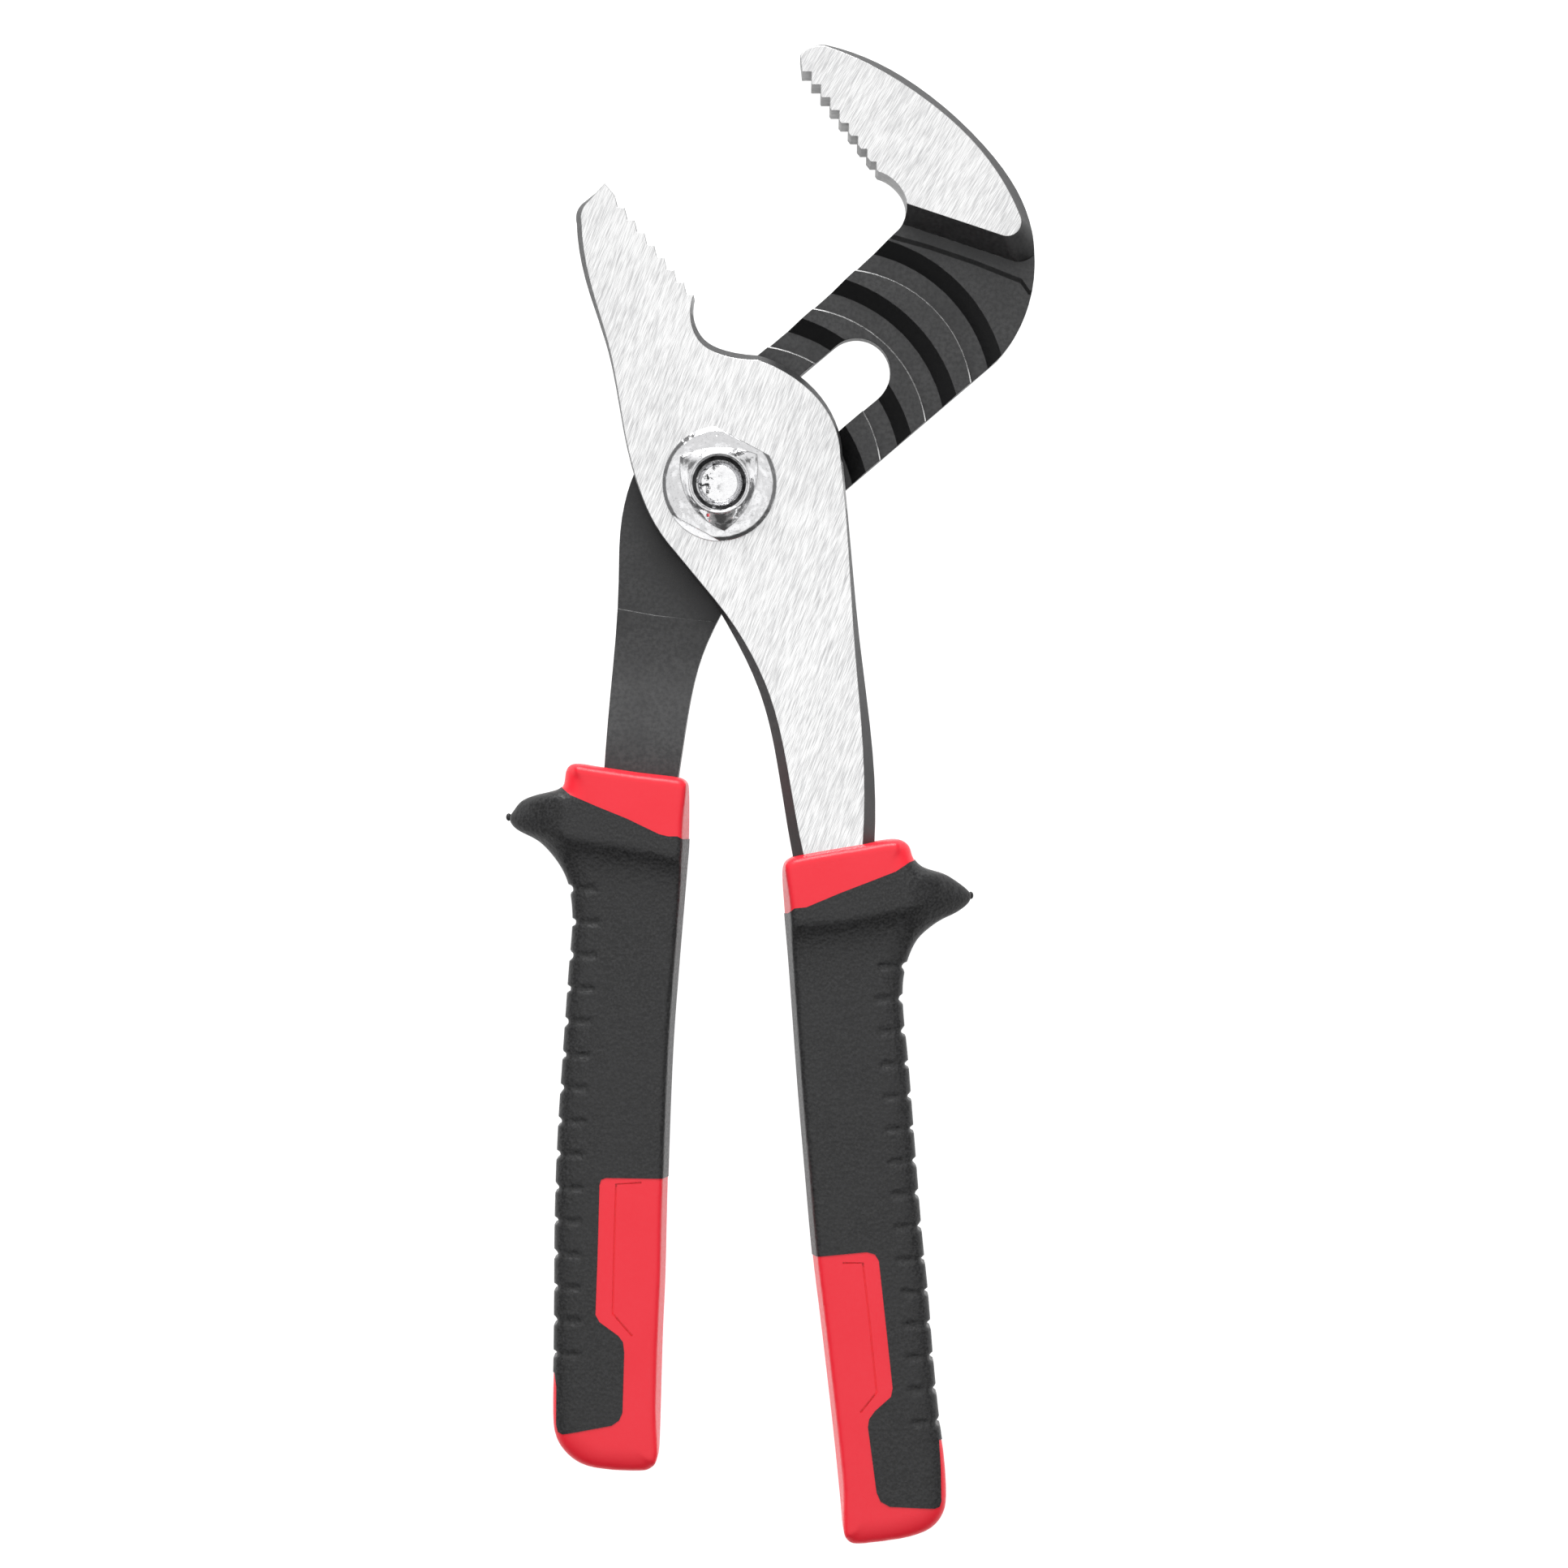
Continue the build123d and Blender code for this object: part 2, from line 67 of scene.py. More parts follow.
# How upright a normal must be to lie in an outer plane, and how near to that plane the surface must be
FLAT_FACING = 0.985
PLANE_REACH = 0.05 * MM
TOOTH_REACH = 2.3 * MM
# Width and strength of the painted dark line of shade along the ground faces' edges
RIM_SHADE_WIDTH = 0.2 * MM
RIM_SHADE_SHARE = 0.65
# Width and share of the bright worn edges, which also serve as painted glint lines
SCRAPE_GLINT_WIDTH = 0.16 * MM
SCRAPE_GLINT_SHARE = 0.4

# ---------------------------------------------------------------- shader helpers


class Shader:
    """A material's node tree with short calls for the nodes used here."""

    def __init__(self, name):
        self.material = bpy.data.materials.new(name)
        self.material.use_nodes = True
        self.tree = self.material.node_tree
        self.bsdf = self.tree.nodes["Principled BSDF"]
        self.coords = self.tree.nodes.new("ShaderNodeTexCoord")

    def feed(self, socket, value):
        if isinstance(value, bpy.types.NodeSocket):
            self.tree.links.new(value, socket)
        else:
            socket.default_value = value

    def math(self, operation, first, second=0.0, clamp=False):
        node = self.tree.nodes.new("ShaderNodeMath")
        node.operation = operation
        node.use_clamp = clamp
        self.feed(node.inputs[0], first)
        self.feed(node.inputs[1], second)
        return node.outputs[0]

    def axis(self, vector, name):
        node = self.tree.nodes.new("ShaderNodeSeparateXYZ")
        self.tree.links.new(vector, node.inputs[0])
        return node.outputs[name]

    def place(self, name):
        return self.axis(self.coords.outputs["Object"], name)

    def facing(self, name):
        return self.axis(self.coords.outputs["Normal"], name)

    def ramp(self, value, low, high, to_low=0.0, to_high=1.0):
        node = self.tree.nodes.new("ShaderNodeMapRange")
        node.interpolation_type = "SMOOTHSTEP"
        for index, number in enumerate((value, low, high, to_low, to_high)):
            self.feed(node.inputs[index], number)
        return node.outputs[0]

    def turned(self, degrees, scale):
        """Object coordinates turned about Z and then scaled, for streaks that run one way."""
        turn = self.tree.nodes.new("ShaderNodeMapping")
        turn.inputs["Rotation"].default_value = (0, 0, math.radians(-degrees))
        self.tree.links.new(self.coords.outputs["Object"], turn.inputs[0])
        stretch = self.tree.nodes.new("ShaderNodeMapping")
        stretch.inputs["Scale"].default_value = scale
        self.tree.links.new(turn.outputs[0], stretch.inputs[0])
        return stretch.outputs[0]

    def noise(self, scale, detail=3.0, vector=None, roughness=0.55):
        node = self.tree.nodes.new("ShaderNodeTexNoise")
        self.feed(node.inputs["Vector"], vector or self.coords.outputs["Object"])
        node.inputs["Scale"].default_value = scale
        node.inputs["Detail"].default_value = detail
        node.inputs["Roughness"].default_value = roughness
        return node.outputs[0]

    def cells(self, scale):
        node = self.tree.nodes.new("ShaderNodeTexVoronoi")
        self.tree.links.new(self.coords.outputs["Object"], node.inputs["Vector"])
        node.inputs["Scale"].default_value = scale
        return node.outputs["Distance"]

    def mix(self, factor, first, second):
        node = self.tree.nodes.new("ShaderNodeMix")
        node.data_type = "RGBA"
        self.feed(node.inputs["Factor"], factor)
        for socket, colour in ((node.inputs["A"], first), (node.inputs["B"], second)):
            self.feed(socket, colour if isinstance(colour, bpy.types.NodeSocket) else (*colour, 1.0))
        return node.outputs["Result"]

    def bump(self, height, distance, strength=1.0, after=None):
        node = self.tree.nodes.new("ShaderNodeBump")
        node.inputs["Strength"].default_value = strength
        node.inputs["Distance"].default_value = distance
        self.tree.links.new(height, node.inputs["Height"])
        if after is not None:
            self.tree.links.new(after, node.inputs["Normal"])
        return node.outputs[0]

    def normals(self, radius):
        """Normals rounded over the sharp edges within a radius."""
        node = self.tree.nodes.new("ShaderNodeBevel")
        node.samples = 6
        node.inputs["Radius"].default_value = radius
        return node.outputs[0]

    def edge(self, radius):
        """Near 1 on the sharp edges and 0 elsewhere."""
        geometry = self.tree.nodes.new("ShaderNodeNewGeometry")
        node = self.tree.nodes.new("ShaderNodeVectorMath")
        node.operation = "DOT_PRODUCT"
        self.tree.links.new(self.normals(radius), node.inputs[0])
        self.tree.links.new(geometry.outputs["Normal"], node.inputs[1])
        return self.ramp(node.outputs["Value"], 0.985, 0.8)

    def reach_from_axis(self):
        """Distance from the bolt's axis."""
        x = self.math("POWER", self.place("X"), 2.0)
        y = self.math("POWER", self.place("Y"), 2.0)
        return self.math("SQRT", self.math("ADD", x, y))

    def near_line(self, point, along, reach):
        """1 within a reach of an upright plane through a point, in metres, and 0 beyond it."""
        length = math.hypot(*along)
        across = (-along[1] / length, along[0] / length)
        x = self.math("MULTIPLY", self.place("X"), across[0])
        y = self.math("MULTIPLY", self.place("Y"), across[1])
        offset = point[0] * across[0] + point[1] * across[1]
        gap = self.math("ABSOLUTE", self.math("SUBTRACT", self.math("ADD", x, y), offset))
        return self.math("LESS_THAN", gap, reach)

    def finish(self, **values):
        names = {
            "colour": "Base Color", "metallic": "Metallic", "roughness": "Roughness", "normal": "Normal",
            "specular": "Specular IOR Level", "coat": "Coat Weight", "coat_roughness": "Coat Roughness",
            "sheen": "Sheen Weight",
        }
        for key, value in values.items():
            if isinstance(value, tuple):
                value = (*value, 1.0)
            self.feed(self.bsdf.inputs[names[key]], value)
        return self.material


# ---------------------------------------------------------------- materials


def lever_steel(name, streak_angle, teeth):
    """Forged steel: dark oxide all over, and ground and scratched where a face lies in either outer plane.
    Sloped walls carry painted near-black shade, the ground faces' edges a painted dark line of shade, and
    the groove lips and worn edges painted bright glints.

    teeth is the row of teeth as a point and a direction. Its flanks are bare cut steel.
    """
    shader = Shader(name)
    height = shader.place("Z")
    up = shader.math("ABSOLUTE", shader.facing("Z"))
    flat = shader.math("GREATER_THAN", up, FLAT_FACING)
    top = shader.math("GREATER_THAN", height, LEVER_FACE - PLANE_REACH)
    back = shader.math("LESS_THAN", height, LEVER_BACK + PLANE_REACH)
    ground = shader.math("MULTIPLY", flat, shader.math("MAXIMUM", top, back))
    fine = shader.noise(1.0, 2.0, shader.turned(streak_angle, (420, 9800, 30)))
    wide = shader.noise(1.0, 3.0, shader.turned(streak_angle + 5, (260, 4200, 20)))
    cloud = shader.noise(60.0, 2.0)
    streaks = shader.math("ADD", shader.math("MULTIPLY", fine, 0.6), shader.math("MULTIPLY", wide, 0.4))
    streaks = shader.math("ADD", streaks, shader.math("MULTIPLY", cloud, 0.12))
    bright = shader.mix(shader.ramp(streaks, 0.38, 0.68), (0.51, 0.51, 0.515), (0.86, 0.86, 0.86))
    # Painted shade: a dark line along the edges of the ground faces, standing in for their rounded edges
    # turning from the light
    painted_rim_shade = shader.math("MULTIPLY", shader.edge(RIM_SHADE_WIDTH), RIM_SHADE_SHARE)
    bright = shader.mix(painted_rim_shade, bright, (0.16, 0.16, 0.16))
    mottle = shader.noise(1500.0, 4.0)
    patches = shader.noise(150.0, 3.0)
    oxide = shader.mix(shader.ramp(mottle, 0.3, 0.7), (0.024, 0.024, 0.025), (0.052, 0.052, 0.053))
    oxide = shader.mix(shader.ramp(patches, 0.35, 0.75, 0.0, 0.4), oxide, (0.018, 0.018, 0.019))
    # Painted shade: the sloped groove walls and steps are coloured near black, as if lying in shadow
    painted_shade_slopes = shader.math("MULTIPLY", shader.ramp(up, 0.95, 0.86), shader.ramp(up, 0.58, 0.66))
    oxide = shader.mix(painted_shade_slopes, oxide, (0.006, 0.006, 0.0065))
    flank = shader.math("MULTIPLY", shader.near_line(*teeth, TOOTH_REACH), shader.math("LESS_THAN", up, 0.3))
    cut = shader.mix(shader.ramp(patches, 0.3, 0.7), (0.16, 0.16, 0.16), (0.36, 0.36, 0.36))
    oxide = shader.mix(flank, oxide, cut)
    # Bare worn edges, broken by noise; they also stand in as painted bright glints along the sharp edges
    broken = shader.ramp(shader.noise(420.0, 3.0), 0.42, 0.6)
    scraped_and_glint = shader.math("MULTIPLY", shader.edge(SCRAPE_GLINT_WIDTH), broken)
    scraped_and_glint = shader.math("MULTIPLY", scraped_and_glint, SCRAPE_GLINT_SHARE)
    scraped_and_glint = shader.math("MULTIPLY", scraped_and_glint, shader.math("SUBTRACT", 1.0, ground))
    # Painted highlight: the groove lips are coloured bright and fully metallic as glint lines
    glint_lip = shader.math("MULTIPLY", shader.ramp(up, 0.4, 0.48), shader.ramp(up, 0.68, 0.62))
    glint_lip = shader.math("MULTIPLY", glint_lip, shader.math("GREATER_THAN", height, GROOVE_LIP_LOW))
    glint_lip = shader.math("MULTIPLY", glint_lip, shader.math("LESS_THAN", height, GROOVE_LIP_HIGH))
    # Worn edges and painted glints together, both coloured bright below
    wear_and_glint = shader.math("MAXIMUM", glint_lip, scraped_and_glint)
    dark_side = shader.mix(wear_and_glint, oxide, (0.75, 0.75, 0.75))
    grain = shader.math("ADD", shader.math("MULTIPLY", mottle, 0.4), shader.math("MULTIPLY", patches, 0.6))
    rough_oxide = shader.ramp(mottle, 0.3, 0.7, 0.4, 0.56)
    rough_ground = shader.ramp(streaks, 0.35, 0.75, 0.3, 0.2)
    rounded = shader.normals(0.22 * MM)
    scratched = shader.bump(streaks, 0.012 * MM, 0.5, rounded)
    forged = shader.bump(grain, 0.05 * MM, 0.6, rounded)
    mixed = shader.tree.nodes.new("ShaderNodeMix")
    mixed.data_type = "VECTOR"
    shader.feed(mixed.inputs["Factor"], ground)
    shader.feed(mixed.inputs[4], forged)
    shader.feed(mixed.inputs[5], scratched)
    rough = shader.math("ADD", shader.math("MULTIPLY", rough_ground, ground),
                        shader.math("MULTIPLY", rough_oxide, shader.math("SUBTRACT", 1.0, ground)))
    return shader.finish(
        colour=shader.mix(ground, dark_side, bright),
        metallic=shader.ramp(shader.math("MAXIMUM", ground, glint_lip), 0.0, 1.0, 0.15, 1.0),
        roughness=rough, normal=mixed.outputs[1])


def plated_steel(name, tint, roughness, dent_depth, recess=None):
    """Bright plating over a pressed surface that waves a little, with dull specks.

    recess is a ring painted dark as the shade in the nut's countersink, as inner and outer radius and lowest
    height.
    """
    shader = Shader(name)
    waves = shader.noise(260.0, 2.0)
    dents = shader.noise(900.0, 3.0)
    specks = shader.noise(2600.0, 2.0)
    colour = shader.mix(shader.ramp(specks, 0.56, 0.74, 0.0, 0.5), tint, (0.4, 0.4, 0.41))
    if recess:
        # Painted shade: the countersink ring is coloured near black, as if in shadow
        radius = shader.reach_from_axis()
        painted_shade_ring = shader.math("MULTIPLY", shader.ramp(radius, recess[0], recess[0] + 0.15 * MM),
                             shader.ramp(radius, recess[1], recess[1] - 0.15 * MM))
        high = shader.math("GREATER_THAN", shader.place("Z"), recess[2])
        colour = shader.mix(shader.math("MULTIPLY", painted_shade_ring, high), colour, (0.05, 0.05, 0.052))
    height = shader.math("ADD", waves, shader.math("MULTIPLY", dents, 0.12))
    normal = shader.bump(height, dent_depth, 1.0, shader.normals(0.3 * MM))
    rough = shader.ramp(dents, 0.3, 0.7, roughness * 0.6, roughness * 1.5)
    return shader.finish(colour=colour, metallic=1.0, roughness=rough, normal=normal)


def turned_bolt():
    """Zinc-plated bolt whose sawn end is rough and dark in patches."""
    shader = Shader("turned_bolt")
    end = shader.math("GREATER_THAN", shader.place("Z"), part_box("pivot_bolt")[1].z - 0.4 * MM)
    torn = shader.noise(700.0, 4.0, None, 0.7)
    fine = shader.noise(2400.0, 2.0)
    side = shader.ramp(shader.place("X"), 1.2 * MM, -1.8 * MM)
    dark = shader.math("MULTIPLY", shader.ramp(torn, 0.5, 0.58), shader.math("MULTIPLY", end, side))
    colour = shader.mix(dark, (0.86, 0.86, 0.87), (0.03, 0.03, 0.032))
    height = shader.math("ADD", shader.math("MULTIPLY", torn, end), shader.math("MULTIPLY", fine, 0.15))
    normal = shader.bump(height, 0.14 * MM, 0.8, shader.normals(0.3 * MM))
    rough = shader.ramp(fine, 0.3, 0.7, 0.14, 0.3)
    return shader.finish(colour=colour, metallic=1.0, roughness=rough, normal=normal)


def black_rubber():
    """Soft black moulding with a fine leather grain."""
    shader = Shader("black_rubber")
    grain = shader.cells(1350.0)
    fine = shader.noise(2400.0, 3.0)
    patches = shader.noise(120.0, 2.0)
    colour = shader.mix(shader.ramp(fine, 0.35, 0.7), (0.006, 0.006, 0.0065), (0.03, 0.03, 0.031))
    colour = shader.mix(shader.ramp(patches, 0.3, 0.8, 0.0, 0.4), colour, (0.022, 0.022, 0.023))
    height = shader.math("ADD", grain, shader.math("MULTIPLY", fine, 0.6))
    rough = shader.ramp(fine, 0.3, 0.7, 0.36, 0.52)
    return shader.finish(colour=colour, roughness=rough, normal=shader.bump(height, 0.1 * MM, 0.6))


def red_plastic():
    """Hard red plastic with faint flow marks and fine pores."""
    shader = Shader("red_plastic")
    flow = shader.noise(60.0, 2.0)
    pores = shader.noise(2200.0, 2.0)
    colour = shader.mix(flow, (0.93, 0.012, 0.03), (0.99, 0.026, 0.05))
    rough = shader.ramp(pores, 0.3, 0.7, 0.3, 0.4)
    return shader.finish(colour=colour, roughness=rough, normal=shader.bump(pores, 0.035 * MM, 0.3))


def dress(node, material):
    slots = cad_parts[node].data.materials
    slots.clear()
    slots.append(material)


# ---------------------------------------------------------------- grips

VOXEL = 0.4 * MM
SMOOTH_STEPS = 9
COVER_PROUD = 0.12 * MM
SMOOTH_FACTOR = 0.5
NOTCH_GAPS = 14
NOTCH_HALF_WIDTH = 0.72
NOTCH_DEPTH = 0.8
NOTCH_FACE_SHARE = 0.3
NOTCH_START = 1.6
NOTCH_REACH = 4.2
NOTCH_LIMIT = 7
BRIDGE_HEIGHT = 0.75
BRIDGE_WIDTH = 0.5
MAIN_THICKNESS = 0.76
RIDGE_FALL = 2.8
RIDGE_ROUNDING = 0.3
HORN_TIP_THICKNESS = 0.36
HORN_LENGTH = 10.5
INNER_DRAFT = 1.1
DRAFT_FADE = 6.0
DRAFT_END_FADE = 12.0
SETTLE_STEPS = 3
EDGE_ROUNDING = 1.3
OUTER_ROUNDING = 4.6
END_ROUNDING = 4.4
EDGE_DROP = 0.7
OUTER_DROP = 1.9
END_DROP = 1.2
PANEL_LINE_WIDTH = 0.36
PANEL_LINE_DEPTH = 0.55
REGION_MARGIN = 5 * MM
SHARP_ANGLE = 38

# Outlines in millimetres, seen from above, from the collar's outer corner round by the inner edge
REAR_GRIP = {
    "body": "rear_half",
    "side": -1,
    "outline": [
        (-27.2, -52.4), (-26.7, -49.6), (-25.2, -48.5), (-21.5, -49.0), (-14.0, -50.1), (-7.4, -50.9),
        (-5.9, -51.6), (-5.4, -53.2), (-5.4, -61.6), (-5.9, -68.2), (-7.3, -85.1), (-8.3, -99.3),
        (-9.1, -120.5), (-9.5, -137.1), (-10.0, -149.0), (-10.5, -166.0), (-10.9, -169.8),
        (-12.0, -171.3), (-14.0, -171.8), (-20.1, -171.5), (-24.3, -170.5), (-27.2, -168.2),
        (-28.8, -165.0), (-29.1, -160.0), (-28.9, -151.5), (-28.8, -141.6), (-28.7, -127.5),
        (-28.2, -113.4), (-27.3, -99.3), (-26.3, -85.1), (-25.6, -76.2), (-25.9, -71.5),
        (-26.6, -68.6), (-27.8, -66.2), (-29.7, -63.7), (-31.8, -61.8), (-35.0, -60.2),
        (-36.2, -59.2), (-36.7, -58.0), (-35.9, -56.8), (-34.6, -55.2), (-32.3, -54.2), (-28.6, -53.3)],
    "ridge": [(-38.0, -58.6), (-34.8, -59.7), (-29.2, -61.1), (-20.7, -62.6), (-12.2, -64.0), (-4.0, -65.8)],
    "body_edge": -26.8,
    "outer_edge": [
        (-69.0, -26.3), (-76.2, -25.5), (-85.1, -26.3), (-99.3, -27.3), (-113.4, -28.2),
        (-127.5, -28.7), (-141.6, -28.8), (-155.0, -29.0)],
    "notches": (-70.4, -151.4),
    "collar": [(-27.6, -52.6), (-25.9, -54.0), (-21.5, -55.9), (-16.1, -58.1), (-10.5, -60.8), (-8.9, -61.2),
               (-7.3, -61.2), (-6.4, -61.7), (0.0, -61.9), (0.0, -40.0), (-35.0, -40.0), (-35.0, -52.6)],
    "lower": [
        (0.0, -120.9), (-19.8, -120.6), (-20.6, -120.9), (-20.9, -121.8), (-21.2, -133.0), (-21.6, -144.4),
        (-20.9, -145.7), (-17.6, -148.1), (-16.8, -149.2), (-16.6, -151.0), (-16.9, -161.4),
        (-17.5, -162.8), (-18.8, -163.7), (-27.4, -165.3), (-28.2, -164.9), (-28.5, -163.6),
        (-28.45, -157.0), (-28.8, -154.6), (-40.0, -154.6), (-40.0, -180.0), (0.0, -180.0)],
    "panel_line": [(-13.6, -121.4), (-18.0, -121.7), (-18.3, -131.7), (-18.6, -144.2), (-15.2, -148.1)],
    "nibs": [(-37.0, -57.9, 0.48)],
}
FRONT_GRIP = {
    "body": "front_half",
    "side": 1,
    "outline": [
        (33.8, -65.2), (33.0, -62.9), (31.4, -61.8), (28.7, -61.9), (24.9, -62.6), (20.0, -63.4),
        (14.5, -64.4), (11.9, -65.2), (10.9, -67.2), (11.3, -74.6), (12.1, -84.0), (13.6, -104.6),
        (14.9, -120.0), (16.2, -134.5), (17.7, -146.9), (19.7, -164.3), (21.0, -177.0), (21.5, -182.2),
        (22.3, -183.9), (24.0, -184.5), (29.7, -183.9), (33.8, -183.1), (37.0, -181.7), (38.9, -179.3),
        (39.5, -176.0), (39.1, -169.3), (38.2, -163.0), (37.1, -152.0), (36.2, -140.5), (35.1, -129.8),
        (34.0, -116.0), (32.8, -100.7), (32.0, -93.0), (31.8, -87.5), (32.4, -83.6), (33.7, -80.2),
        (35.3, -78.1), (38.2, -75.9), (41.3, -74.4), (43.3, -72.9), (43.8, -71.6), (43.0, -70.5),
        (41.0, -69.0), (39.1, -67.9), (35.6, -66.8)],
    "ridge": [(44.0, -71.6), (37.2, -72.9), (30.1, -74.3), (21.7, -76.0), (11.8, -76.9), (8.0, -77.2)],
    "body_edge": 33.0,
    "outer_edge": [
        (-80.0, 32.9), (-83.7, 32.3), (-89.4, 31.8), (-95.0, 32.3), (-100.7, 32.8), (-116.0, 34.0),
        (-129.8, 35.1), (-140.5, 36.2), (-157.7, 37.6), (-166.0, 38.5)],
    "notches": (-83.9, -163.3),
    "collar": [(0.0, -75.5), (11.8, -74.7), (13.0, -73.7), (15.1, -73.5), (20.8, -71.1), (26.5, -68.9),
               (30.6, -67.3), (33.0, -65.7), (35.0, -65.0), (40.0, -64.5), (40.0, -50.0), (0.0, -50.0)],
    "lower": [
        (0.0, -134.8), (16.2, -134.4), (21.5, -133.9), (25.6, -133.5), (27.0, -133.9), (27.7, -135.0),
        (28.9, -146.0), (30.1, -157.2), (29.8, -158.7), (27.0, -161.2), (26.0, -162.6), (25.8, -164.0),
        (26.6, -170.0), (27.3, -175.3), (28.0, -176.9), (29.6, -177.8), (37.4, -178.2), (38.3, -177.9),
        (38.6, -177.0), (38.5, -171.0), (38.2, -166.3), (50.0, -166.3), (50.0, -195.0), (0.0, -195.0)],
    "panel_line": [(21.4, -135.4), (24.9, -135.4), (26.1, -145.9), (27.3, -157.9), (24.5, -161.4)],
    "nibs": [(43.9, -71.6, 0.48)],
}


def new_object(name, mesh):
    piece = bpy.data.objects.new(name, mesh)
    bpy.context.scene.collection.objects.link(piece)
    return piece


def settle(piece):
    """Applies the piece's modifiers to its mesh."""
    graph = bpy.context.evaluated_depsgraph_get()
    mesh = bpy.data.meshes.new_from_object(piece.evaluated_get(graph))
    piece.modifiers.clear()
    piece.data = mesh
    return piece


def rounded_path(points, steps=6):
    """Closed Catmull-Rom curve through the points."""
    path = []
    count = len(points)
    for index in range(count):
        before, start, end, after = (np.array(points[(index + k) % count]) for k in (-1, 0, 1, 2))
        for step in range(steps):
            t = step / steps
            slope = end - before
            curve = 2 * before - 5 * start + 4 * end - after
            twist = 3 * start - before - 3 * end + after
            path.append(0.5 * (2 * start + slope * t + curve * t ** 2 + twist * t ** 3))
    return path


def prism(name, outline, low, high):
    """Closed upright solid over an outline in millimetres, between two heights in metres."""
    mesh = bpy.data.meshes.new(name)
    shape = bmesh.new()
    base = [shape.verts.new((x * MM, y * MM, low)) for x, y in outline]
    face = shape.faces.new(base)
    raised = bmesh.ops.extrude_face_region(shape, geom=[face])["geom"]
    for item in raised:
        if isinstance(item, bmesh.types.BMVert):
            item.co.z = high
    bmesh.ops.recalc_face_normals(shape, faces=shape.faces)
    shape.to_mesh(mesh)
    shape.free()
    return new_object(name, mesh)


def vertex_table(mesh):
    """Places and normals of the vertices as two tables."""
    places = np.zeros(len(mesh.vertices) * 3)
    mesh.vertices.foreach_get("co", places)
    normals = np.zeros(len(mesh.vertices) * 3)
    mesh.vertex_normals.foreach_get("vector", normals)
    return places.reshape(-1, 3), normals.reshape(-1, 3)


def smoothstep(value):
    value = np.clip(value, 0.0, 1.0)
    return value * value * (3 - 2 * value)


def edge_distance(places, outline):
    """Distance from each vertex to the outline in plan, in millimetres, and the nearest side's normal."""
    points = np.array(outline)
    following = np.roll(points, -1, axis=0)
    spot = places[:, :2] / MM
    best = np.full(len(spot), 1e9)
    outward = np.zeros((len(spot), 2))
    for start, end in zip(points, following):
        run = end - start
        length = np.hypot(*run)
        if length < 1e-6:
            continue
        share = np.clip(((spot - start) @ run) / length ** 2, 0, 1)
        away = spot - (start + share[:, None] * run)
        gap = np.hypot(away[:, 0], away[:, 1])
        nearer = gap < best
        best[nearer] = gap[nearer]
        outward[nearer] = np.array((run[1], -run[0])) / length
    return best, outward


def round_edges(places, grip, outline):
    """Pulls both faces down towards the outline: widely outside, and as a draft on the inner side."""
    gap, outward = edge_distance(places, outline)
    if signed_area(outline) < 0:
        outward = -outward
    outer = smoothstep(outward[:, 0] * grip["side"] * 1.6 - 0.1)
    ends = smoothstep(np.abs(outward[:, 1]) * 1.8 - 0.7) * (1 - outer)
    radius = EDGE_ROUNDING + outer * (OUTER_ROUNDING - EDGE_ROUNDING)
    radius = radius + ends * (END_ROUNDING - EDGE_ROUNDING) * (outward[:, 1] < 0)
    rise = np.sqrt(np.clip(1 - (1 - np.clip(gap / radius, 0, 1)) ** 2.2, 0, 1))
    depth = EDGE_DROP + OUTER_DROP * outer + END_DROP * ends
    half = (GRIP_HIGH - GRIP_MIDDLE) / MM
    share = 1 - depth * (1 - rise) / half
    level = np.abs(places[:, 2] - GRIP_MIDDLE) / MM / half
    inner = smoothstep(-outward[:, 0] * grip["side"] * 2 - 0.6)
    y = places[:, 1] / MM
    lowest = min(point[1] for point in outline)
    highest = max(point[1] for point in outline)
    along = smoothstep((y - lowest) / DRAFT_END_FADE) * smoothstep((highest - y) / DRAFT_END_FADE)
    draft = INNER_DRAFT * level * inner * along * np.clip(1 - gap / DRAFT_FADE, 0, 1)
    places[:, :2] -= outward * draft[:, None] * MM
    places[:, 2] = GRIP_MIDDLE + (places[:, 2] - GRIP_MIDDLE) * share


def signed_area(outline):
    points = np.array(outline)
    following = np.roll(points, -1, axis=0)
    return 0.5 * np.sum(points[:, 0] * following[:, 1] - following[:, 0] * points[:, 1])


def shape_thickness(places, grip):
    """Thins the main grip below the guard's ridge, and the horn towards its tip."""
    x = places[:, 0] / MM
    y = places[:, 1] / MM
    ridge = np.array(sorted(grip["ridge"]))
    below = np.interp(x, ridge[:, 0], ridge[:, 1]) - y
    below = RIDGE_ROUNDING * np.logaddexp(0, below / RIDGE_ROUNDING)
    main = 1 - (1 - MAIN_THICKNESS) * (1 - np.exp(-below / RIDGE_FALL))
    beyond = (x - grip["body_edge"]) * grip["side"]
    near_horn = y > min(p[1] for p in grip["ridge"]) - 8
    horn = 1 - (1 - HORN_TIP_THICKNESS) * np.clip(beyond / HORN_LENGTH, 0, 1) ** 1.3 * near_horn
    places[:, 2] = GRIP_MIDDLE + (places[:, 2] - GRIP_MIDDLE) * main * horn


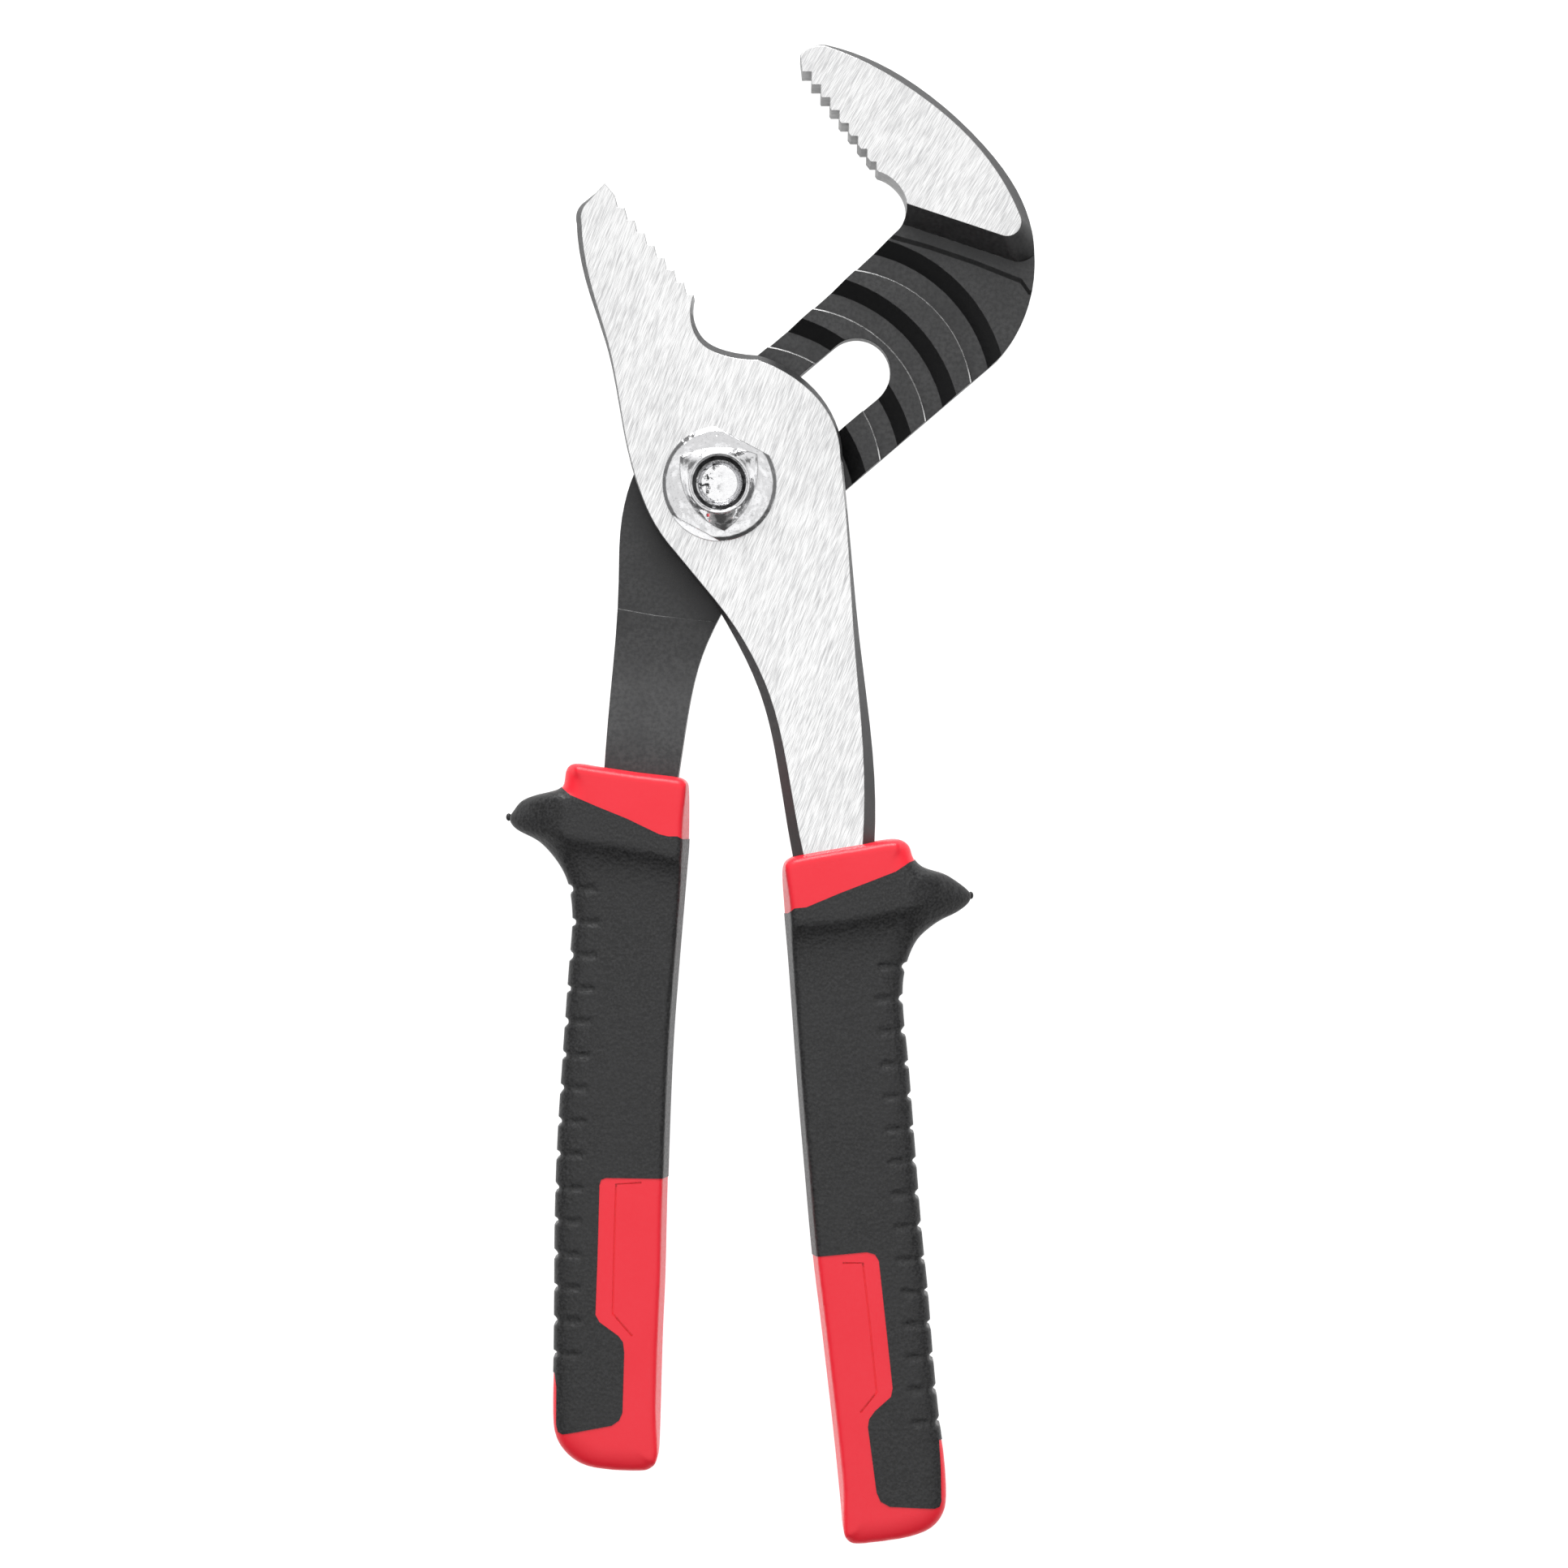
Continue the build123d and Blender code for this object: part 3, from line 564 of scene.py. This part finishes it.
def cut_notches(places, normals, grip):
    """Bites round the outer edge, each followed by a shallow round-ended slot on both faces."""
    x = places[:, 0] / MM
    y = places[:, 1] / MM
    edge = np.array(sorted(grip["outer_edge"]))
    inward = (np.interp(y, edge[:, 0], edge[:, 1]) - x) * grip["side"]
    first, last = grip["notches"]
    pitch = (last - first) / NOTCH_GAPS
    index = np.clip(np.round((y - first) / pitch), 0, NOTCH_GAPS)
    across = y - (first + index * pitch)
    gap = np.hypot(across, np.maximum(inward - NOTCH_REACH, 0))
    round_bottom = np.sqrt(np.clip(1 - (gap / NOTCH_HALF_WIDTH) ** 2, 0, 1))
    on_face = smoothstep(np.abs(normals[:, 2]) * 1.5 - 0.3)
    share = 1 + (NOTCH_FACE_SHARE - 1) * on_face
    bridge = 1 - BRIDGE_HEIGHT * np.exp(-((inward - NOTCH_START) / BRIDGE_WIDTH) ** 2)
    depth = NOTCH_DEPTH * round_bottom * share * bridge * (inward < NOTCH_LIMIT)
    places -= normals * depth[:, None] * MM


def boolean(piece, tool, operation):
    modifier = piece.modifiers.new("cut", "BOOLEAN")
    modifier.operation = operation
    modifier.object = tool
    modifier.solver = "EXACT"
    return settle(piece)


def discard(*pieces):
    for piece in pieces:
        bpy.data.objects.remove(piece)


def moulded_body(name, grip):
    """The whole rounded grip with its horn, guard slope and notches, before it is split by colour."""
    solid = prism(name, rounded_path(grip["outline"]), GRIP_LOW + COVER_PROUD, GRIP_HIGH - COVER_PROUD)
    remesh = solid.modifiers.new("remesh", "REMESH")
    remesh.mode = "VOXEL"
    remesh.voxel_size = VOXEL
    smooth = solid.modifiers.new("smooth", "SMOOTH")
    smooth.factor = SMOOTH_FACTOR
    smooth.iterations = SMOOTH_STEPS
    settle(solid)
    places = vertex_table(solid.data)[0]
    shape_thickness(places, grip)
    round_edges(places, grip, rounded_path(grip["outline"], 3))
    solid.data.vertices.foreach_set("co", places.ravel())
    solid.data.update()
    calm = solid.modifiers.new("calm", "SMOOTH")
    calm.factor = SMOOTH_FACTOR
    calm.iterations = SETTLE_STEPS
    settle(solid)
    places, normals = vertex_table(solid.data)
    cut_notches(places, normals, grip)
    solid.data.vertices.foreach_set("co", places.ravel())
    solid.data.update()
    return solid


def swell(piece, distance):
    places, normals = vertex_table(piece.data)
    places += normals * distance
    piece.data.vertices.foreach_set("co", places.ravel())
    piece.data.update()


def engraving_tool(grip, height):
    """Thin upright strip that follows the panel line and dips a little under one face."""
    line = [np.array(point) for point in grip["panel_line"]]
    sides = ([], [])
    for index, point in enumerate(line):
        before = line[max(index - 1, 0)]
        after = line[min(index + 1, len(line) - 1)]
        along = (after - before) / np.hypot(*(after - before))
        for side, sign in zip(sides, (1, -1)):
            side.append(point + sign * PANEL_LINE_WIDTH / 2 * np.array((-along[1], along[0])))
    depth = PANEL_LINE_DEPTH * MM
    return prism("panel_line", sides[0] + sides[1][::-1], height - depth, height + depth)


def add_nibs(piece, grip):
    """Small moulding nibs at the tip of the horn."""
    shape = bmesh.new()
    shape.from_mesh(piece.data)
    for x, y, radius in grip["nibs"]:
        made = bmesh.ops.create_icosphere(shape, subdivisions=3, radius=radius * MM)
        for vertex in made["verts"]:
            vertex.co.y *= 1.4
            vertex.co += Vector((x * MM, y * MM, GRIP_MIDDLE))
    shape.to_mesh(piece.data)
    shape.free()


def smooth_shaded(piece):
    for polygon in piece.data.polygons:
        polygon.use_smooth = True
    piece.data.set_sharp_from_angle(angle=math.radians(SHARP_ANGLE))


def make_grip(name, grip, red, black):
    """Red core and black cover, split along the collar line and the lower panel's outline."""
    whole = moulded_body(name + "_whole", grip)
    core = new_object(name + "_core", whole.data.copy())
    cover = new_object(name + "_cover", whole.data.copy())
    swell(cover, COVER_PROUD)
    collar = prism("collar_region", grip["collar"], GRIP_LOW - REGION_MARGIN, GRIP_HIGH + REGION_MARGIN)
    lower = prism("lower_region", grip["lower"], GRIP_LOW - REGION_MARGIN, GRIP_HIGH + REGION_MARGIN)
    boolean(cover, collar, "DIFFERENCE")
    boolean(cover, lower, "DIFFERENCE")
    core_collar = new_object("core_collar", core.data.copy())
    boolean(core_collar, collar, "INTERSECT")
    boolean(core, lower, "INTERSECT")
    main_half = (GRIP_HIGH - GRIP_MIDDLE) * MAIN_THICKNESS
    for height in (GRIP_MIDDLE + main_half, GRIP_MIDDLE - main_half):
        rod = engraving_tool(grip, height)
        boolean(core, rod, "DIFFERENCE")
        discard(rod)
    shape = bmesh.new()
    shape.from_mesh(core.data)
    shape.from_mesh(core_collar.data)
    shape.to_mesh(core.data)
    shape.free()
    add_nibs(cover, grip)
    discard(whole, collar, lower, core_collar)
    finished = ((core, red, "core", "red_grip"), (cover, black, "cover", "black_grip"))
    for piece, material, node, slot in finished:
        piece.name = f"{name}_{node}_moulding"
        piece.data.materials.clear()
        piece.data.materials.append(material)
        smooth_shaded(piece)
        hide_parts(f"{name}_{node}")
        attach(piece, grip["body"])


# ---------------------------------------------------------------- stage, light and camera

FLOOR_GLOW = 0.94
# Brightness of the tent by the height of the direction, from below to straight up
TENT_STOPS = ((0.0, 1.0), (0.15, 1.0), (0.32, 0.26), (0.64, 0.2), (0.85, 0.9), (0.96, 0.95), (1.0, 1.3))
# The tent dims from its first level to its second between these two values of Y
TENT_DIM_FROM = -0.2
TENT_DIM_TO = -0.75
TENT_DIM_LEVELS = (1.0, 0.35)
SOFTBOX_PLACE = (-0.08, 0.8, 0.5)
SOFTBOX_TARGET = (0.01, -0.05, 0)
SOFTBOX_SIZE = 0.65
SOFTBOX_ENERGY = 10.0
CAMERA_PLACE = (11.2 * MM, -52.1 * MM, 863 * MM)
FRAME_WIDTH = 272.8 * MM
SENSOR = 36.0


def make_floor():
    """Pale sweep that glows a little, so that almost no shadow shows on it."""
    bpy.ops.mesh.primitive_plane_add(size=6.0, location=(0, 0, -0.02 * MM))
    floor = bpy.context.object
    floor.name = "floor"
    shader = Shader("pale_floor")
    tone = shader.mix(shader.noise(3.0, 2.0), (0.3, 0.3, 0.3), (0.33, 0.33, 0.33))
    shader.bsdf.inputs["Emission Color"].default_value = (1, 1, 1, 1)
    shader.bsdf.inputs["Emission Strength"].default_value = FLOOR_GLOW
    floor.data.materials.append(shader.finish(colour=tone, roughness=0.9, specular=0.1))


def make_light():
    """White tent: bright overhead and at the horizon, darker between, darkest towards the handles' ends."""
    world = bpy.data.worlds.new("studio")
    bpy.context.scene.world = world
    world.use_nodes = True
    tree = world.node_tree
    coords = tree.nodes.new("ShaderNodeTexCoord")
    split = tree.nodes.new("ShaderNodeSeparateXYZ")
    tree.links.new(coords.outputs["Generated"], split.inputs[0])
    tent = tree.nodes.new("ShaderNodeValToRGB")
    for place, _ in TENT_STOPS[1:-1]:
        tent.color_ramp.elements.new(place)
    for element, (place, value) in zip(tent.color_ramp.elements, TENT_STOPS):
        element.color = (value, value, value, 1)
    tree.links.new(split.outputs["Z"], tent.inputs[0])
    lee = tree.nodes.new("ShaderNodeMapRange")
    lee.interpolation_type = "SMOOTHSTEP"
    for index, value in enumerate((TENT_DIM_FROM, TENT_DIM_TO, *TENT_DIM_LEVELS), 1):
        lee.inputs[index].default_value = value
    tree.links.new(split.outputs["Y"], lee.inputs[0])
    product = tree.nodes.new("ShaderNodeMath")
    product.operation = "MULTIPLY"
    tree.links.new(tent.outputs[0], product.inputs[0])
    tree.links.new(lee.outputs[0], product.inputs[1])
    background = tree.nodes["Background"]
    background.inputs["Color"].default_value = (1, 1, 1, 1)
    tree.links.new(product.outputs[0], background.inputs["Strength"])
    lamp = bpy.data.lights.new("softbox", "AREA")
    lamp.size = SOFTBOX_SIZE
    lamp.energy = SOFTBOX_ENERGY
    box = bpy.data.objects.new("softbox", lamp)
    box.location = SOFTBOX_PLACE
    box.rotation_euler = (Vector(SOFTBOX_TARGET) - box.location).to_track_quat("-Z", "Y").to_euler()
    bpy.context.scene.collection.objects.link(box)


def make_camera():
    data = bpy.data.cameras.new("camera")
    data.sensor_width = SENSOR
    data.lens = SENSOR * (CAMERA_PLACE[2] - LEVER_FACE) / FRAME_WIDTH
    camera = bpy.data.objects.new("camera", data)
    camera.location = CAMERA_PLACE
    bpy.context.scene.collection.objects.link(camera)
    bpy.context.scene.camera = camera


# ---------------------------------------------------------------- the scene


def main():
    make_camera()
    make_light()
    make_floor()
    dress("front_lever", lever_steel("ground_forging", 67, FRONT_TEETH))
    dress("rear_lever", lever_steel("dark_forging", 57, REAR_TEETH))
    dress("pivot_nut", plated_steel("plated_nut", (0.76, 0.76, 0.77), 0.09, 0.5 * MM, NUT_RECESS))
    dress("pivot_washer", plated_steel("plated_washer", (0.82, 0.82, 0.83), 0.14, 0.2 * MM))
    dress("pivot_bolt", turned_bolt())
    red = red_plastic()
    black = black_rubber()
    make_grip("rear_grip", REAR_GRIP, red, black)
    make_grip("front_grip", FRONT_GRIP, red, black)
    bpy.context.scene.view_settings.view_transform = "Standard"


main()
